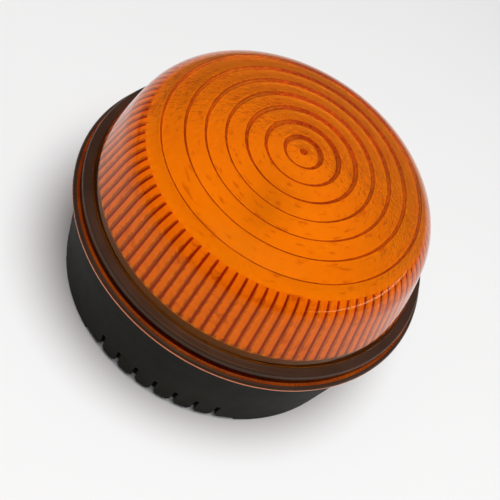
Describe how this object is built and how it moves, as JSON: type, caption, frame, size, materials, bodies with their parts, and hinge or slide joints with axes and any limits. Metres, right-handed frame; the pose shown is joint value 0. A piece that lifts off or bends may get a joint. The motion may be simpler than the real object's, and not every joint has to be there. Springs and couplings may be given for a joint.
{
  "type": "darkroom safelight",
  "caption": "Round amber darkroom safelight: fluted, ring-stepped twist-off lens dome on a black vented housing with a small screw-cap lamp inside.",
  "frame": {"origin": "centre of the underside, which rests on the wall or bench", "axes": "+Z along the lamp's axis, out through the lens; +Y towards the cable inlet; vents at -Y, +X and -X"},
  "size_m": [0.14, 0.14, 0.0849],
  "materials": {
    "lens_amber": "clear amber, polished",
    "seal_rubber": "soft black rubber",
    "grommet_rubber": "moulded black rubber",
    "housing_black": "moulded, faint grain",
    "zinc_steel": "zinc plated",
    "spring_steel": "drawn wire",
    "white_enamel": "white stove enamel",
    "white_ceramic": "glazed white porcelain",
    "brass": "rolled",
    "white_nylon": "moulded",
    "lead_brown": "insulation",
    "lead_blue": "insulation",
    "lamp_glass": "clear blown glass",
    "cap_metal": "rolled",
    "cap_insulator": "black glass",
    "solder": "solder",
    "filament_wire": "drawn wire"
  },
  "bodies": {
    "base": {"base_housing": "housing_black", "housing_screws": "zinc_steel", "back_plate": "housing_black", "vent_baffle": "housing_black", "inlet_grommet": "grommet_rubber", "reflector_dish": "white_enamel", "holder_body": "white_ceramic", "holder_shell": "brass", "holder_ring_nut": "white_ceramic", "holder_plate": "zinc_steel", "holder_plate_screws": "zinc_steel", "holder_screws": "zinc_steel", "holder_tabs": "brass", "holder_tab_screws": "brass", "contact_spring": "spring_steel", "terminal_block": "white_nylon", "terminal_tubes": "brass", "terminal_screws": "zinc_steel", "terminal_block_screw": "zinc_steel", "lead_live": "lead_brown", "lead_neutral": "lead_blue"},
    "seal": {"lens_gasket": "seal_rubber"},
    "lens": {"lens_dome": "lens_amber"},
    "lamp_tip": {"lamp_contact": "solder", "lamp_insulator": "cap_insulator"},
    "lamp": {"lamp_cap": "cap_metal", "lamp_envelope": "lamp_glass", "lamp_stem": "lamp_glass", "lamp_supports": "filament_wire", "lamp_filament": "filament_wire"},
    "contact": {"center_contact": "brass"}
  },
  "joints": [
    {"name": "lens_rise", "type": "slide", "parent": "base", "child": "seal", "axis": [0, 0, 1], "range_m": [0, 0.001]},
    {"name": "lens_twist", "type": "hinge", "parent": "seal", "child": "lens", "pos_m": [0, 0, 0.042], "axis": [0, 0, 1], "range_deg": [0, 45]},
    {"name": "lamp_rise", "type": "slide", "parent": "base", "child": "lamp_tip", "axis": [0, 0, 1], "range_m": [0, 0.00988]},
    {"name": "lamp_turn", "type": "hinge", "parent": "lamp_tip", "child": "lamp", "pos_m": [0, 0, 0.024], "axis": [0, 0, 1], "range_deg": [0, 1260]},
    {"name": "contact_press", "type": "slide", "parent": "base", "child": "contact", "axis": [0, 0, 1], "range_m": [-0.0008, 0], "stiffness_N_per_m": 400, "springref_m": 0.002, "deforming": ["contact_spring"]}
  ],
  "couplings": [
    {"joint": "lens_rise", "follows": "lens_twist", "m_per_rad": 0.0012732},
    {"joint": "lamp_rise", "follows": "lamp_turn", "m_per_rad": 0.00044914}
  ]
}
